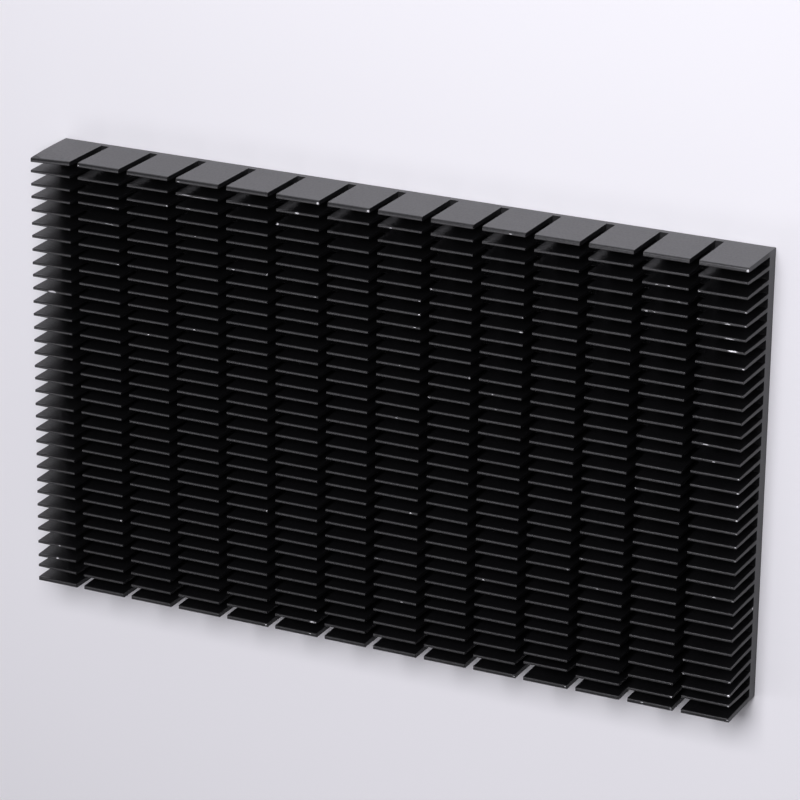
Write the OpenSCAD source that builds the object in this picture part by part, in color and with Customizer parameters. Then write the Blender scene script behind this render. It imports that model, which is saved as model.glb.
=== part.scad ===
// Heat sink: an aluminium comb profile, extruded in one piece and then saw-cut across its fins.
// The part lies on its flat mounting face, with its fins upwards.
// X runs along the fins, Y across them, and Z from the mounting face up to the fin tips.

/* [Bar] */
// Length of the bar, along the fins
bar_l = 300; // [120:1:600]
// Thickness of the base plate, from the mounting face to the roots of the gaps
base_t = 6; // [4:0.5:15]
// Radius along the two long edges of the mounting face
back_edge_r = 0.5; // [0.2:0.1:2]

/* [Fins] */
// Number of fins in the comb, the two outer ones included
fin_count = 34; // [4:1:60]
// Distance from the middle of one fin to the middle of the next
fin_pitch = 5.4; // [4:0.1:9]
// Height of the fins above the base plate
fin_h = 22; // [8:0.5:60]
// Thickness of an inner fin at its tip
fin_tip_t = 1.1; // [0.8:0.1:2]
// Thickness of an inner fin at its root
fin_root_t = 1.6; // [1.3:0.1:2.6]
// Thickness of each outer fin at its tip
outer_tip_t = 1.8; // [1.2:0.1:3]
// Radius in the two corners at the root of each gap
root_r = 0.4; // [0.1:0.05:0.7]
// Radius on the outer edge of each outer fin's tip
outer_edge_r = 0.8; // [0.2:0.1:1.1]

/* [Saw cuts] */
// Width of one saw cut across the fins
cut_w = 3.6; // [1:0.1:8]
// Length of the fins between two saw cuts
block_l = 18; // [6:0.5:60]
// Shortest run of fins that may be left after the last saw cut
last_block_min = 8; // [4:0.5:15]
// Thickness of base plate left under a saw cut
cut_floor_t = 3; // [1:0.25:6]

/* [Hidden] */
$fn = 48;

// How far a cutter runs past the surface that it opens
overcut = 1;

// Overall height and width of the profile
bar_h = base_t + fin_h;
bar_w = (fin_count - 1) * fin_pitch + outer_tip_t;
side_y = bar_w / 2;

// Each flank leans out by this much from its fin's tip to its root
flank_lean = (fin_root_t - fin_tip_t) / 2;
flank_angle = atan(flank_lean / fin_h);

// How far the middle of a root fillet lies from the foot of its flank
fillet_run = root_r * (1 - sin(flank_angle)) / cos(flank_angle);

// The saw cuts follow each other along the bar, and the last run of fins takes what is left
cut_pitch = block_l + cut_w;
cut_count = floor((bar_l - last_block_min) / cut_pitch);

// Middle of a fin, counted from one side of the bar
function fin_y(i) = -side_y + outer_tip_t / 2 + i * fin_pitch;

// Half of a fin's thickness at its tip
function half_tip(i) = (i == 0 || i == fin_count - 1 ? outer_tip_t : fin_tip_t) / 2;

// Outside of the bar's section, with its four long edges rounded
module bar_outline() {
    polygon([
        [-side_y + back_edge_r, 0],
        [side_y - back_edge_r, 0],
        [side_y, back_edge_r],
        [side_y, bar_h - outer_edge_r],
        [side_y - outer_edge_r, bar_h],
        [-side_y + outer_edge_r, bar_h],
        [-side_y, bar_h - outer_edge_r],
        [-side_y, back_edge_r]
    ]);
    for (side = [-1, 1]) {
        translate([side * (side_y - back_edge_r), back_edge_r])
            circle(r = back_edge_r);
        translate([side * (side_y - outer_edge_r), bar_h - outer_edge_r])
            circle(r = outer_edge_r);
    }
}

// One side of a gap, drawn about the middle of its root fillet: the fillet and the flank tangent to it
module gap_side() {
    rotate(flank_angle) {
        circle(r = root_r);
        translate([-root_r, 0])
            square([2 * root_r, fin_h + overcut]);
    }
}

// Section of one gap: low_y and high_y are its two sides at the fin tips
module gap_outline(low_y, high_y) {
    low_mid = low_y + flank_lean + fillet_run;
    high_mid = high_y - flank_lean - fillet_run;
    polygon([
        [low_mid, base_t],
        [high_mid, base_t],
        [high_y - root_r, bar_h + overcut],
        [low_y + root_r, bar_h + overcut]
    ]);
    translate([low_mid, base_t + root_r])
        gap_side();
    translate([high_mid, base_t + root_r])
        mirror([1, 0])
            gap_side();
}

// Section of the whole comb
module comb_outline() {
    difference() {
        bar_outline();
        for (i = [0 : fin_count - 2])
            gap_outline(fin_y(i) + half_tip(i), fin_y(i + 1) - half_tip(i + 1));
    }
}

// The comb extruded to the bar's length
module comb_bar() {
    translate([-bar_l / 2, 0, 0])
        rotate([90, 0, 90])
            linear_extrude(bar_l)
                comb_outline();
}

// Path of one saw blade, right across the fins and into the base plate
module saw_cut() {
    translate([0, -side_y - overcut, cut_floor_t])
        cube([cut_w, bar_w + 2 * overcut, bar_h - cut_floor_t + overcut]);
}

// The finished heat sink: the comb with its fins cut into short runs
module heat_sink() {
    color("#2b2b2e")
        difference() {
            comb_bar();
            for (i = [0 : cut_count - 1])
                translate([-bar_l / 2 + block_l + i * cut_pitch, 0, 0])
                    saw_cut();
        }
}

heat_sink();
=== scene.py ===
import math

import bmesh
import bpy
from mathutils import Matrix, Vector


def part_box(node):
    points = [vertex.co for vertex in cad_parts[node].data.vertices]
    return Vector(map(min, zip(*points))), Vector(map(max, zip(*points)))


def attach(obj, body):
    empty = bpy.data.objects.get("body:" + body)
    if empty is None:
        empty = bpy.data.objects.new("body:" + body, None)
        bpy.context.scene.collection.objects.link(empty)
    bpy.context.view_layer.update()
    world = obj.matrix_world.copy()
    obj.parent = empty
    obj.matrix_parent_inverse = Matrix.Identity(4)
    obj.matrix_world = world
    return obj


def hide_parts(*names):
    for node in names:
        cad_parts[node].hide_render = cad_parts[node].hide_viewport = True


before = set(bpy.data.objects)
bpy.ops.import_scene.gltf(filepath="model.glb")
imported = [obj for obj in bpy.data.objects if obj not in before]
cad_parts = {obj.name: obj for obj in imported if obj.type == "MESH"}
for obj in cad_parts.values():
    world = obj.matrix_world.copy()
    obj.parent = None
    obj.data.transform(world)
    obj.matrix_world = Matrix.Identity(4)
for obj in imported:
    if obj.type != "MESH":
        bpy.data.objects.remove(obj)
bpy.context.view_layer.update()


# Heat sink: one aluminium bar with a comb-shaped section, extruded with thin fins on a flat base.
# Saw blades have cut the fins across into short runs, a little way into the base as well, and the
# whole bar is anodised black. Handling has bent single fins and knocked bright nicks in their tips.

mm = 0.001
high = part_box("heat_sink")[1]
end_x = high.x / mm
side_y = high.y / mm
tip_z = high.z / mm

fin_count = 34
fin_pitch = 5.4
base_t = 6.0
fin_h = tip_z - base_t
inner_half_tip = 0.55
outer_half_tip = 0.9
flank_lean = 0.25
root_r = 0.4
back_edge_r = 0.5

block_l = 18.0
cut_w = 3.6
cut_floor_t = 3.0
# How far each saw cut, from left to right, lies off its even place
cut_drift = [-0.4, -0.1, -0.1, 0.3, 0.2, 0.5, 0.1, 0.5, 0.0, -0.4, -0.2, -0.3, 0.0]

# Fins that are plainly bent: row from the far side, run from the left, and how far the tip
# leans towards the far side at the left and at the right end of the run
bent_fins = [
    (0, 1, -0.9, -0.1), (1, 14, 0.55, 0.4), (3, 2, 0.95, 0.9), (3, 7, -0.35, -0.45),
    (4, 2, -0.35, -0.5), (4, 7, -0.65, -0.7), (5, 7, -0.85, -1.0), (6, 14, 0.65, 0.5),
    (13, 13, -0.55, -0.65), (13, 14, 0.75, 0.45), (15, 2, -0.55, -0.6), (15, 13, -1.1, -1.25),
    (16, 7, -0.4, -0.4), (16, 13, -0.85, -0.95), (29, 14, -0.4, -0.45), (30, 13, -0.3, -0.45),
    (30, 14, -0.45, -0.5), (31, 1, -0.6, -0.1), (31, 12, -0.4, -0.4), (31, 13, -0.45, -0.5),
    (31, 14, -0.55, -0.7), (32, 1, 0.4, 0.1), (32, 11, 1.45, 1.55), (32, 13, -0.45, -0.5),
    (32, 14, 0.75, 0.65),
]


def fin_y(i):
    return -side_y + outer_half_tip + i * fin_pitch


def half_tip(i):
    return outer_half_tip if i in (0, fin_count - 1) else inner_half_tip


lean_angle = math.atan2(flank_lean, fin_h)
fillet_run = root_r * (1 - math.sin(lean_angle)) / math.cos(lean_angle)
fillet_turns = [lean_angle, (lean_angle + math.pi / 2) / 2, math.pi / 2]
foot_z = base_t + root_r * (1 - math.sin(lean_angle))


def gap_root(i):
    """The root of the gap after fin i, from flank to flank, with its two fillets."""
    near = fin_y(i) + half_tip(i) + flank_lean + fillet_run
    far = fin_y(i + 1) - half_tip(i + 1) - flank_lean - fillet_run
    rise = base_t + root_r
    up = [(near - root_r * math.cos(a), rise - root_r * math.sin(a)) for a in fillet_turns]
    down = [(far + root_r * math.cos(a), rise - root_r * math.sin(a)) for a in fillet_turns]
    return up + down[::-1]


# Top of the sawn base across the bar: every sixth strip is the foot of a fin
top_line = [(-side_y, foot_z)]
for i in range(fin_count - 1):
    top_line += gap_root(i)
top_line.append((side_y, foot_z))
strips_per_fin = 6

# Start and end of each run of fins
runs = []
start = -end_x
for number, drift in enumerate(cut_drift):
    cut_start = -end_x + block_l + number * (block_l + cut_w) + drift
    runs.append((start, cut_start))
    start = cut_start + cut_w
runs.append((start, end_x))

# The two rounded long edges of the mounting face, seen along the bar
edge_turns = [0, math.pi / 6, math.pi / 3, math.pi / 2]
back_edge = [
    (side_y - back_edge_r * (1 - math.cos(a)), back_edge_r * (1 - math.sin(a))) for a in edge_turns
]

base = bmesh.new()
fin_id = base.verts.layers.int.new("fin")
side_of = base.verts.layers.float.new("side")
along_of = base.verts.layers.float.new("along")
outer_of = base.verts.layers.float.new("outer")
bend_of = base.verts.layers.float.new("bend")
bent_of = base.verts.layers.float.new("bent")
foot_of = base.faces.layers.bool.new("foot")


def corner(x, y, z):
    return base.verts.new((x * mm, y * mm, z * mm))


bends = {(fin_count - 1 - row, run - 1): (left, right) for row, run, left, right in bent_fins}
run_tops = []
for run, (x0, x1) in enumerate(runs):
    columns = []
    for along in (-1, 0, 1):
        x = (x0 + x1) / 2 + along * (x1 - x0) / 2
        column = [corner(x, y, z) for y, z in top_line]
        for j, v in enumerate(column):
            # Two points of every six are the flanks of a fin, and the others are the gap's root
            if j % strips_per_fin > 1:
                continue
            i = j // strips_per_fin
            v[fin_id] = run * fin_count + i + 1
            v[side_of] = 1 if j % strips_per_fin == 1 else -1
            v[along_of] = along
            v[outer_of] = 1 if j in (0, len(top_line) - 1) else 0
            left, right = bends.get((i, run), (0, 0))
            v[bend_of] = left + (right - left) * (along + 1) / 2
            v[bent_of] = 1 if (i, run) in bends else 0
        columns.append(column)
    for near, far in zip(columns, columns[1:]):
        for j in range(len(top_line) - 1):
            face = base.faces.new((near[j], far[j], far[j + 1], near[j + 1]))
            face[foot_of] = j % strips_per_fin == 0
    run_tops.append(columns)

# The two ends of the bar, and the saw cuts between the runs
ends = []
for x, column in ((-end_x, run_tops[0][0]), (end_x, run_tops[-1][-1])):
    far_edge = [corner(x, y, z) for y, z in back_edge]
    near_edge = [corner(x, -y, z) for y, z in back_edge]
    base.faces.new(column + far_edge + near_edge[::-1])
    ends.append((far_edge, near_edge))
far_line, near_line = [], []
for number, (before, after) in enumerate(zip(run_tops, run_tops[1:])):
    x0, x1 = runs[number][1], runs[number + 1][0]
    near0, far0 = corner(x0, -side_y, cut_floor_t), corner(x0, side_y, cut_floor_t)
    near1, far1 = corner(x1, -side_y, cut_floor_t), corner(x1, side_y, cut_floor_t)
    base.faces.new(before[-1] + [far0, near0])
    base.faces.new(after[0] + [far1, near1])
    base.faces.new((near0, near1, far1, far0))
    far_line += [column[-1] for column in before] + [far0, far1]
    near_line += [column[0] for column in before] + [near0, near1]
far_line += [column[-1] for column in run_tops[-1]]
near_line += [column[0] for column in run_tops[-1]]

# The sides, the rounded edges and the mounting face
(far_left, near_left), (far_right, near_right) = ends
base.faces.new(far_line + [far_right[0], far_left[0]])
base.faces.new(near_line + [near_right[0], near_left[0]])
for left, right in ((far_left, far_right), (near_left, near_right)):
    for j in range(len(back_edge) - 1):
        base.faces.new((left[j], left[j + 1], right[j + 1], right[j]))
base.faces.new((far_left[-1], near_left[-1], near_right[-1], far_right[-1]))
bmesh.ops.recalc_face_normals(base, faces=base.faces)
base_mesh = bpy.data.meshes.new("heat_sink")
base.to_mesh(base_mesh)
base.free()


class Wire:
    """One value in a node tree. Sums written with it add Math nodes to the tree."""

    def __init__(self, tree, socket=None):
        self.tree = tree
        self.socket = socket

    def node(self, kind, settings=None, values=None, out=0):
        """Add a node with its settings and its sockets' values, and return one of its outputs."""
        made = self.tree.nodes.new(kind)
        for name, setting in (settings or {}).items():
            setattr(made, name, setting)
        for name, value in (values or {}).items():
            if isinstance(value, Wire):
                self.tree.links.new(value.socket, made.inputs[name])
            else:
                made.inputs[name].default_value = value
        return Wire(self.tree, made.outputs[out]) if len(made.outputs) else made

    def of(self, name):
        """Another output of the node that this value comes from."""
        return Wire(self.tree, self.socket.node.outputs[name])

    def math(self, operation, *values):
        return self.node("ShaderNodeMath", {"operation": operation}, dict(enumerate(values)))

    def vector(self, operation, *values, out=0):
        sockets = dict(enumerate(values))
        return self.node("ShaderNodeVectorMath", {"operation": operation}, sockets, out)

    def blend(self, share, first, second):
        """A colour between two others."""
        sockets = {0: share, 6: first, 7: second}
        return self.node("ShaderNodeMix", {"data_type": "RGBA"}, sockets, out=2)

    def noise(self, scale, detail, roughness=0.5):
        """Noise that is read at this place."""
        sockets = {"Vector": self, "Scale": scale, "Detail": detail, "Roughness": roughness}
        return self.node("ShaderNodeTexNoise", values=sockets)

    def fade(self, start, stop, first=0.0, last=1.0, kind="SMOOTHSTEP"):
        """A level that goes from first to last while this value goes from start to stop."""
        sockets = {"Value": self, "From Min": start, "From Max": stop}
        sockets.update({"To Min": first, "To Max": last})
        return self.node("ShaderNodeMapRange", {"interpolation_type": kind}, sockets)

    def __add__(self, other):
        return self.math("ADD", self, other)

    def __radd__(self, other):
        return self.math("ADD", other, self)

    def __sub__(self, other):
        return self.math("SUBTRACT", self, other)

    def __rsub__(self, other):
        return self.math("SUBTRACT", other, self)

    def __mul__(self, other):
        return self.math("MULTIPLY", self, other)

    def __rmul__(self, other):
        return self.math("MULTIPLY", other, self)

    def __truediv__(self, other):
        return self.math("DIVIDE", self, other)

    def __rtruediv__(self, other):
        return self.math("DIVIDE", other, self)


# Black anodised finish: a thin dyed oxide, satin, with the faint lines of the extrusion die along
# the bar and of the saw blades on the cut faces, and bright metal where a knock has broken it.
dyed_dark = (0.0040, 0.0040, 0.0043, 1)
dyed_light = (0.0079, 0.0079, 0.0085, 1)
bare_metal = (0.86, 0.86, 0.87, 1)
dyed_rough = 0.27
bare_rough = 0.42
relief_depth = 0.00004
extruded_ior = 1.8
sawn_ior = 1.3
nick_marks = ["nick_1", "nick_2", "nick_3"]
end_knock_place = (0.150, -0.0512, 0.0069)
end_knock_r = 0.00045
die_stretch = (6.0, 2200.0, 2200.0)
blade_r = 0.09
blade_z = 0.075
saw_lines_across = 2600.0
saw_lines_along = 40.0

black_anodised = bpy.data.materials.new("black_anodised")
black_anodised.use_nodes = True
black_anodised.node_tree.nodes.clear()
wire = Wire(black_anodised.node_tree)
place = wire.node("ShaderNodeTexCoord", out="Object")
split = wire.node("ShaderNodeSeparateXYZ", values={"Vector": place})
y, z = split.of("Y"), split.of("Z")
sawn = wire.node("ShaderNodeAttribute", {"attribute_name": "sawn"}, out="Fac")

# How far off the nearest nick lies, counted in its own half sizes. One more knock, on the sawn end
# of the bar, sits at the foot of a fin.
bare_reach = wire.vector("DISTANCE", place, end_knock_place, out="Value") / end_knock_r
for name in nick_marks:
    nick = wire.node("ShaderNodeAttribute", {"attribute_name": name}, out="Vector")
    bare_reach = wire.math("MINIMUM", bare_reach, wire.vector("LENGTH", nick, out="Value"))

# The die's lines are drawn out along the bar. Each tooth of a blade leaves the same shallow arc,
# moved on by its feed.
die_lines = wire.vector("MULTIPLY", place, die_stretch).noise(scale=1.0, detail=3.0)
blade_up = z - blade_z
arc = y + wire.math("SQRT", blade_r * blade_r - blade_up * blade_up)
arc_place = wire.node(
    "ShaderNodeCombineXYZ", values={"X": arc * saw_lines_across, "Y": z * saw_lines_along}
)
saw_lines = arc_place.noise(scale=1.0, detail=2.0)
lines = die_lines + sawn * (saw_lines - die_lines)
cloud = place.noise(scale=45.0, detail=4.0)
grain = place.noise(scale=4200.0, detail=2.0)
skin = place.noise(scale=1000.0, detail=2.0, roughness=0.6)

dyed = wire.blend(cloud * 0.6 + lines * 0.4, dyed_dark, dyed_light)
ragged = (grain - 0.5) * 0.8
bare = (bare_reach + ragged).fade(1.15, 0.7)
rough = dyed_rough + lines * 0.08 + cloud * 0.05 + sawn * 0.10
relief = lines * (0.6 + sawn * 0.8) + grain * 0.15
finish = {
    "Base Color": wire.blend(bare, dyed, bare_metal),
    "Roughness": rough + bare * (bare_rough - rough),
    "Metallic": bare,
    "Normal": wire.node(
        "ShaderNodeBump", values={"Strength": 0.25, "Distance": relief_depth, "Height": relief}
    ),
}
extruded_face = wire.node("ShaderNodeBsdfPrincipled", values={**finish, "IOR": extruded_ior})
sawn_face = wire.node("ShaderNodeBsdfPrincipled", values={**finish, "IOR": sawn_ior})

# The blade leaves the thick base closer to the extruded finish than the thin fins. Between the fins
# the skin stays as etched, duller than on the tips and the outer faces, and everywhere it is
# faintly duller in patches, a millimetre or so across.
base_gloss = 0.52
base_edge = (base_t - 1, base_t + 2)
etched_dull = 0.8
etched_edge = (tip_z - 1.2, tip_z - 0.4)
outer_skin = 0.7
patch_level = 0.45
patch_gain = 1.2

thick = z.fade(base_edge[0] * mm, base_edge[1] * mm, 1.0, 0.0, "LINEAR")
below_tip = z.fade(etched_edge[0] * mm, etched_edge[1] * mm, 1.0, 0.0, "LINEAR")
inside = wire.math("LESS_THAN", wire.math("ABSOLUTE", y), (side_y - outer_skin) * mm)
patches = wire.math("MAXIMUM", skin - patch_level, 0.0) * patch_gain
etched = patches + below_tip * inside * etched_dull
dull = (1 - sawn) * etched + sawn * (1 - thick * base_gloss)
shader = wire.node("ShaderNodeMixShader", values={0: dull, 1: extruded_face, 2: sawn_face})
wire.node("ShaderNodeOutputMaterial", values={"Surface": shader})

# Fins: each marked foot on the base is drawn up in steps, along its tapering flanks and round the
# two edges of its tip. Every fin gets a slight lean of its own, and the bent ones their bend.
fin_tree = bpy.data.node_groups.new("fins", "GeometryNodeTree")
fin_sizes = {
    "Fin height": (tip_z - foot_z) * mm,
    "Flank taper": flank_lean * (tip_z - foot_z) / fin_h * mm,
    "Tip edge": 0.31 * mm,
    "Tip crown": 0.50 * mm,
    "Outer tip edge": 0.8 * mm,
    "Sawn edge": 0.1 * mm,
    "Row lean": 0.13 * mm,
    "Fin lean": 0.15 * mm,
    "Twist": 0.03 * mm,
}
lean_seed = 7
fin_tree.interface.new_socket("Geometry", in_out="INPUT", socket_type="NodeSocketGeometry")
fin_inputs = {}
for name in fin_sizes:
    made = fin_tree.interface.new_socket(name, in_out="INPUT", socket_type="NodeSocketFloat")
    fin_inputs[name] = made.identifier
made = fin_tree.interface.new_socket("Seed", in_out="INPUT", socket_type="NodeSocketInt")
fin_inputs["Seed"] = made.identifier
made = fin_tree.interface.new_socket("Finish", in_out="INPUT", socket_type="NodeSocketMaterial")
fin_inputs["Finish"] = made.identifier
fin_tree.interface.new_socket("Geometry", in_out="OUTPUT", socket_type="NodeSocketGeometry")

wire = Wire(fin_tree)
given = wire.node("NodeGroupInput")
height, taper = given.of("Fin height"), given.of("Flank taper")


def mark(name, kind="FLOAT"):
    return wire.node("GeometryNodeInputNamedAttribute", {"data_type": kind}, {"Name": name})


side, along, outer = mark("side"), mark("along"), mark("outer")
bend, bent = mark("bend"), mark("bent")
own = mark("fin", "INT")


def chance(what, offset):
    values = {2: -1.0, 3: 1.0, "ID": what, "Seed": given.of("Seed") + offset}
    return wire.node("FunctionNodeRandomValue", {"data_type": "FLOAT"}, values, out=1)


# A row's lean comes from the die and is the same in every run; a fin's own comes from the saw.
# The outer fins stay upright, so that they keep within the bar's width.
row = wire.math("MODULO", own - 1, fin_count)
inner = wire.math("LESS_THAN", wire.math("ABSOLUTE", row - (fin_count - 1) / 2), fin_count / 2 - 1)
sway = chance(row, 0) * given.of("Row lean") + chance(own, 1) * given.of("Fin lean")
sway = sway + chance(own, 2) * given.of("Twist") * along
sway = sway * inner * (1 - bent) + bend * mm
edge = given.of("Tip edge")
edge = edge + outer * (given.of("Outer tip edge") - edge)
crown = given.of("Tip crown")
crown = crown + outer * (given.of("Outer tip edge") - crown)
sawn_edge = given.of("Sawn edge")

shape = wire.node(
    "GeometryNodeStoreNamedAttribute",
    {"data_type": "FLOAT_VECTOR", "domain": "POINT"},
    {"Geometry": given, "Name": "foot_place", "Value": wire.node("GeometryNodeInputPosition")},
)
foot_place = mark("foot_place", "FLOAT_VECTOR")
top = mark("foot", "BOOLEAN")
# Share of the height, share of the bend, and the turn round the tip's edge
steps = [(0.5, 0.3, None), (1.0, 1.0, 0.0), (1.0, 1.0, 30.0), (1.0, 1.0, 60.0), (1.0, 1.0, 90.0)]
for up, swayed, turn in steps:
    drawn = wire.node(
        "GeometryNodeExtrudeMesh",
        {"mode": "FACES"},
        {"Mesh": shape, "Selection": top, "Offset Scale": 0.0, "Individual": False},
        out="Mesh",
    )
    top = drawn.of("Top")
    rise = height * up
    inset, end_inset = 0.0, 0.0
    if turn is not None:
        rise = rise - crown * (1 - math.sin(math.radians(turn)))
        inset = edge * (1 - math.cos(math.radians(turn)))
        end_inset = sawn_edge * (1 - math.cos(math.radians(turn)))
    across = sway * swayed - side * (taper * up * (1 - outer) + inset)
    move = wire.node(
        "ShaderNodeCombineXYZ", values={"X": along * end_inset * -1, "Y": across, "Z": rise}
    )
    moved = wire.vector("ADD", foot_place, move)
    shape = wire.node(
        "GeometryNodeSetPosition", values={"Geometry": drawn, "Selection": top, "Position": moved}
    )
shape = wire.node("GeometryNodeRealizeInstances", values={"Geometry": shape})
shape = wire.node(
    "GeometryNodeSetMaterial", values={"Geometry": shape, "Material": given.of("Finish")}
)
wire.node("NodeGroupOutput", values={"Geometry": shape})

drawn_fins = bpy.data.objects.new("drawn_fins", base_mesh)
bpy.context.scene.collection.objects.link(drawn_fins)
growth = drawn_fins.modifiers.new("fins", "NODES")
growth.node_group = fin_tree
for name, size in fin_sizes.items():
    growth[fin_inputs[name]] = size
growth[fin_inputs["Seed"]] = lean_seed
growth[fin_inputs["Finish"]] = black_anodised
ready = bpy.context.evaluated_depsgraph_get()
fin_mesh = bpy.data.meshes.new_from_object(drawn_fins.evaluated_get(ready))
bpy.data.objects.remove(drawn_fins)
fin_mesh.name = "finned_bar"

# Nicks: row from the far side, run from the left, place along the run, and half the length and half
# the width of the bright metal. Knocks at the ends of the fins are dots, and scrapes are longer.
nicks = [
    (0, 2, 0.3, 0.4, 0.18), (0, 4, 1.2, 0.5, 0.13), (0, 6, 17.8, 0.6, 0.55),
    (0, 7, 17.2, 0.6, 0.50), (0, 10, 11.5, 0.6, 0.17), (0, 14, 19.0, 0.6, 0.55),
    (1, 4, 4.6, 2.6, 0.08), (1, 4, 11.0, 3.6, 0.05), (1, 5, 10.0, 0.4, 0.09),
    (1, 6, 9.0, 0.8, 0.38), (1, 8, 5.4, 0.5, 0.15), (2, 3, 17.7, 0.4, 0.25),
    (2, 4, 5.5, 0.9, 0.07), (2, 6, 0.7, 0.5, 0.55), (2, 13, 5.8, 0.6, 0.07),
    (2, 13, 10.5, 0.5, 0.18), (2, 14, 0.5, 0.4, 0.16), (3, 2, 14.4, 2.2, 0.06),
    (3, 13, 14.7, 0.5, 0.08), (3, 14, 19.0, 0.5, 0.18), (4, 2, 13.8, 2.0, 0.05),
    (4, 4, 8.5, 0.4, 0.07), (4, 13, 2.1, 0.6, 0.22), (4, 13, 5.3, 0.5, 0.08),
    (4, 14, 0.8, 0.5, 0.07), (4, 14, 12.1, 1.1, 0.22), (4, 14, 19.0, 0.4, 0.16),
    (5, 9, 0.6, 0.4, 0.15), (5, 14, 13.0, 1.9, 0.16), (6, 5, 3.0, 0.5, 0.17),
    (6, 5, 17.8, 0.4, 0.22), (6, 8, 17.8, 0.4, 0.15), (6, 10, 17.2, 0.4, 0.07),
    (6, 14, 14.4, 1.9, 0.32), (7, 2, 17.6, 0.4, 0.14), (7, 6, 16.8, 0.5, 0.08),
    (7, 8, 17.8, 0.4, 0.28), (7, 10, 16.7, 0.8, 0.20), (7, 14, 19.0, 0.5, 0.30),
    (8, 8, 16.0, 0.5, 0.15), (10, 1, 8.8, 1.7, 0.55), (11, 4, 7.8, 0.6, 0.15),
    (11, 8, 9.9, 0.4, 0.06), (11, 9, 17.1, 0.4, 0.40), (12, 3, 9.0, 0.5, 0.16),
    (12, 10, 5.7, 0.5, 0.13), (13, 9, 0.5, 0.4, 0.09), (13, 10, 7.1, 0.5, 0.05),
    (13, 14, 5.6, 1.3, 0.16), (14, 14, 9.0, 0.6, 0.23), (15, 8, 9.0, 0.5, 0.13),
    (15, 14, 19.0, 0.4, 0.14), (16, 14, 19.0, 0.5, 0.29), (17, 13, 0.5, 0.4, 0.05),
    (17, 14, 19.0, 0.5, 0.32), (18, 14, 19.0, 0.5, 0.39), (19, 14, 19.0, 0.4, 0.08),
    (20, 14, 19.0, 0.4, 0.15), (21, 14, 19.0, 0.4, 0.09), (22, 8, 15.5, 0.5, 0.26),
    (23, 12, 1.2, 0.4, 0.08), (24, 5, 17.8, 0.4, 0.40), (24, 11, 17.2, 0.4, 0.11),
    (24, 14, 11.5, 0.7, 0.11), (24, 14, 18.9, 0.4, 0.10), (25, 12, 7.8, 0.4, 0.10),
    (26, 8, 1.2, 0.4, 0.09), (26, 10, 3.6, 0.5, 0.27), (26, 14, 19.0, 0.4, 0.10),
    (27, 2, 17.5, 0.4, 0.23), (29, 8, 12.2, 0.5, 0.21), (29, 14, 0.5, 0.4, 0.09),
    (30, 1, 10.1, 0.5, 0.19), (30, 14, 0.5, 0.4, 0.17), (30, 14, 19.0, 0.4, 0.15),
    (31, 1, 9.0, 0.6, 0.32), (31, 6, 17.8, 0.4, 0.14), (31, 13, 17.5, 0.4, 0.05),
    (31, 14, 19.0, 0.7, 0.51), (32, 6, 16.3, 0.9, 0.46), (32, 6, 17.8, 0.4, 0.15),
    (32, 13, 17.8, 0.4, 0.18), (32, 14, 19.0, 0.5, 0.23), (33, 5, 17.5, 0.4, 0.25),
    (33, 6, 15.5, 0.5, 0.11), (33, 10, 17.4, 0.5, 0.14), (33, 11, 17.7, 0.4, 0.14),
    (33, 13, 6.1, 0.5, 0.14), (33, 13, 17.8, 0.5, 0.14), (33, 14, 18.9, 0.5, 0.14),
]
nick_half_height = 0.4
nick_depth = 0.12
nick_band = 1.2
crest_band = 0.01
no_nick = (9, 9, 9)
# A knock lands on the far edge of a tip, on the near one or between them
nick_across = [0.12, -0.12, 0.0]
# Points closer than this, in metres, are one point
hair = 1e-6

knocked = bmesh.new()
knocked.from_mesh(fin_mesh)
own_fin = knocked.verts.layers.int["fin"]
nick_layers = [knocked.verts.layers.float_vector.new(name) for name in nick_marks]
for v in knocked.verts:
    for layer in nick_layers:
        v[layer] = no_nick


def fin_points(number, above):
    return [v for v in knocked.verts if v[own_fin] == number and v.co.z > above * mm]


used = {}
for n, (row, run, place_mm, half_length, half_width) in enumerate(nicks):
    number = (run - 1) * fin_count + fin_count - row
    middle = runs[run - 1][0] + place_mm
    for cut in (middle - half_length, middle, middle + half_length):
        tips = set(fin_points(number, tip_z - nick_band))
        faces = {f for v in tips for f in v.link_faces if tips.issuperset(f.verts)}
        edges = {e for f in faces for e in f.edges}
        bmesh.ops.bisect_plane(
            knocked,
            geom=[*faces, *edges, *tips],
            dist=hair,
            plane_co=(cut * mm, 0, 0),
            plane_no=(1, 0, 0),
        )
    crest = fin_points(number, tip_z - crest_band)
    centre = sum(v.co.y for v in crest) / len(crest) / mm + nick_across[n % len(nick_across)]
    layer = nick_layers[used.get(number, 0)]
    used[number] = used.get(number, 0) + 1
    for v in fin_points(number, 0):
        off = ((v.co.x / mm - middle) / half_length, (v.co.y / mm - centre) / half_width)
        v[layer] = (*off, (v.co.z / mm - tip_z) / nick_half_height)
    for v in fin_points(number, tip_z - nick_band):
        v.co.z -= nick_depth * max(0, 1 - abs(v.co.x / mm - middle) / half_length) * mm
bmesh.ops.recalc_face_normals(knocked, faces=knocked.faces)

# The blades have cut what faces along the bar, and the floors of the cuts
sawn_facing = 0.7
sawn_of = knocked.faces.layers.float.new("sawn")
for face in knocked.faces:
    cut_floor = abs(face.calc_center_median().z - cut_floor_t * mm) < hair
    face[sawn_of] = 1 if abs(face.normal.x) > sawn_facing or cut_floor else 0
    face.smooth = True
knocked.to_mesh(fin_mesh)
knocked.free()
sharp_turn = math.radians(40)
fin_mesh.set_sharp_from_angle(angle=sharp_turn)

heat_sink = bpy.data.objects.new("heat_sink_bar", fin_mesh)
bpy.context.scene.collection.objects.link(heat_sink)
heat_sink.modifiers.new("flat faces stay flat", "WEIGHTED_NORMAL").keep_sharp = True
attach(heat_sink, "root")
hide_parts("heat_sink")


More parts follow.
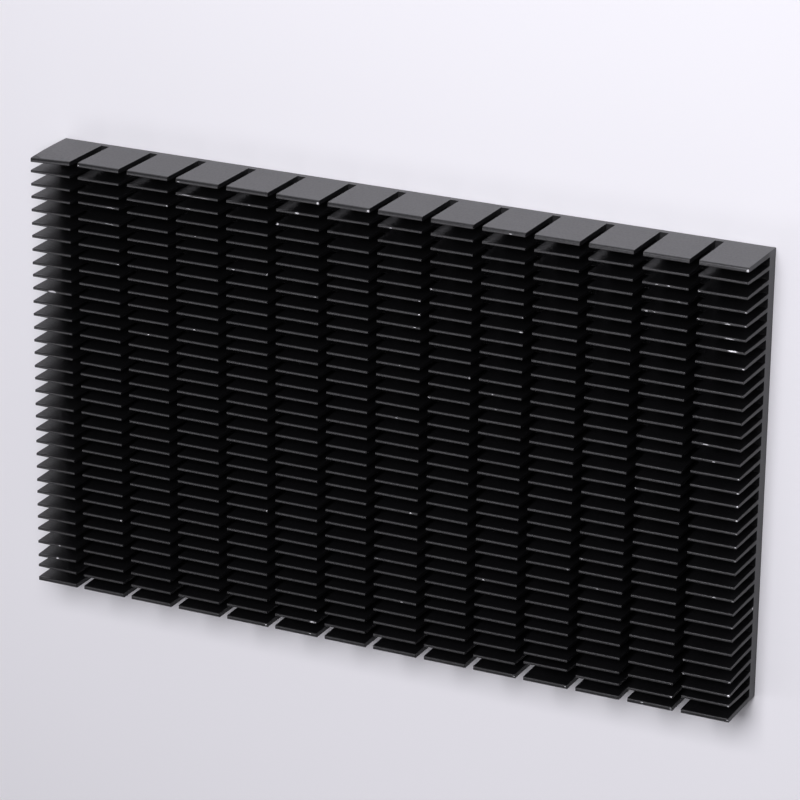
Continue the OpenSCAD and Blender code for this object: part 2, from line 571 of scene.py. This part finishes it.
# Floor: a plain pale matt sheet, much larger than the picture, that carries the bar and takes its
# shadow. It lies a hair below the mounting face, so that the two faces don't share one plane.
pale = (0.83, 0.83, 0.84, 1)
reach = 6.0
floor_z = -0.0001
pool_r = 0.28
pool_end_r = 0.8
floor_mesh = bpy.data.meshes.new("floor")
floor_corners = [(-reach, -reach), (reach, -reach), (reach, reach), (-reach, reach)]
floor_mesh.from_pydata([(x, y, floor_z) for x, y in floor_corners], [], [(0, 1, 2, 3)])
pale_floor = bpy.data.materials.new("pale_floor")
pale_floor.use_nodes = True
pale_floor.node_tree.nodes.clear()
wire = Wire(pale_floor.node_tree)
lit = wire.node(
    "ShaderNodeBsdfPrincipled",
    values={"Base Color": pale, "Roughness": 0.8, "Specular IOR Level": 0.2},
)
# Far from the bar, where the lamps fade, the sheet is seen as pale as it is near it
glow = wire.node("ShaderNodeEmission", values={"Color": pale, "Strength": 1.0})
ray = wire.node("ShaderNodeLightPath", out="Is Camera Ray")
seen = wire.math("MINIMUM", ray + ray.of("Is Glossy Ray") + ray.of("Is Transmission Ray"), 1.0)
place = wire.node("ShaderNodeTexCoord", out="Object")
far = wire.vector("LENGTH", place, out="Value").fade(pool_r, pool_end_r)
shader = wire.node("ShaderNodeMixShader", values={0: far * seen, 1: lit, 2: glow})
wire.node("ShaderNodeOutputMaterial", values={"Surface": shader})
floor_mesh.materials.append(pale_floor)
floor = bpy.data.objects.new("floor", floor_mesh)
bpy.context.scene.collection.objects.link(floor)


# Light: a room that is pale towards the horizon and dim overhead, a soft lamp above the far side,
# and a long dim panel above the near left, which the fin tips mirror as thin grey lines.
light_colour = (1.0, 0.98, 1.05)
horizon_level = 0.55
overhead_level = 0.10
overhead_from = 0.65
# Name, place, width and depth in metres, and power in watts
lamps = [
    ("far_lamp", (0.20, 0.46, 0.97), 0.5, 0.5, 10.8),
    ("near_panel", (-0.52, -0.295, 1.05), 1.0, 0.29, 1.36),
]

world = bpy.data.worlds.new("room")
world.use_nodes = True
world.node_tree.nodes.clear()
wire = Wire(world.node_tree)
toward = wire.node("ShaderNodeTexCoord", out="Generated")
skyward = wire.node("ShaderNodeSeparateXYZ", values={"Vector": toward}).of("Z")
level = skyward.fade(0.0, overhead_from, horizon_level, overhead_level)
walls = wire.node("ShaderNodeBackground", values={"Color": (*light_colour, 1), "Strength": level})
wire.node("ShaderNodeOutputWorld", values={"Surface": walls})
bpy.context.scene.world = world
for name, spot, width, depth, power in lamps:
    data = bpy.data.lights.new(name, "AREA")
    data.shape = "RECTANGLE"
    data.size = width
    data.size_y = depth
    data.energy = power
    data.color = light_colour
    lamp = bpy.data.objects.new(name, data)
    away = Vector(spot).normalized()
    across = (Vector((1, 0, 0)) - away * away.x).normalized()
    facing = Matrix((across, away.cross(across), away)).transposed()
    lamp.matrix_world = Matrix.Translation(spot) @ facing.to_4x4()
    bpy.context.scene.collection.objects.link(lamp)


# Camera: looks down on the bar through a long lens, from the right and the far side, and is turned
# so that the far side of the bar is at the top of the picture.
camera_place = (0.61609, 0.53041, 1.29554)
toward_camera = Vector((0.40417, 0.34407, 0.8475)).normalized()
picture_right = Vector((0.90049, 0.01291, -0.43469))
picture_right = (picture_right - toward_camera * picture_right.dot(toward_camera)).normalized()
picture_up = toward_camera.cross(picture_right)
camera_turn = Matrix((picture_right, picture_up, toward_camera)).transposed()

camera_data = bpy.data.cameras.new("camera")
camera_data.sensor_width = 36.0
camera_data.lens = 176.7
camera_data.clip_end = 20.0
camera = bpy.data.objects.new("camera", camera_data)
camera.matrix_world = Matrix.Translation(camera_place) @ camera_turn.to_4x4()
bpy.context.scene.collection.objects.link(camera)
bpy.context.scene.camera = camera
bpy.context.scene.view_settings.view_transform = "Standard"

bpy.context.view_layer.update()
